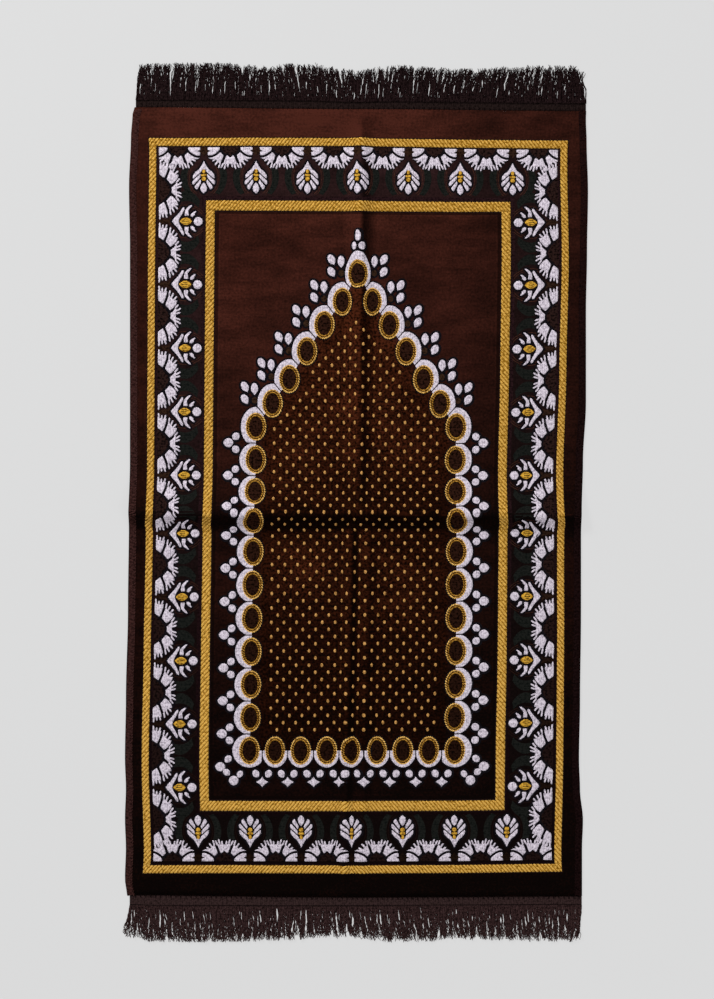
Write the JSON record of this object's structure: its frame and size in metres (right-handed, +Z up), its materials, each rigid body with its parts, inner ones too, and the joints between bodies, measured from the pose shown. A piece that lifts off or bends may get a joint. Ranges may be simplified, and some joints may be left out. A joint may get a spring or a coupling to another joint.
{
  "type": "prayer rug",
  "caption": "Flat pile-velvet prayer rug with an arch design, turned side hems, a fringe at each end and the creases of its packet fold.",
  "frame": {"origin": "on the floor, at the middle of the rug's box", "axes": "+Z up, +Y along the rug towards the arch's point, +X to the right seen from above with the point away"},
  "size_m": [0.6066, 1.1516, 0.0198],
  "materials": {
    "velvet": "dark brown pile velvet with woven white, gold and black figures",
    "fringe_yarn": "dull dark brown twisted yarn"
  },
  "bodies": {
    "root": {"cloth": "velvet", "fringe_top": "fringe_yarn", "fringe_bottom": "fringe_yarn"}
  },
  "joints": []
}
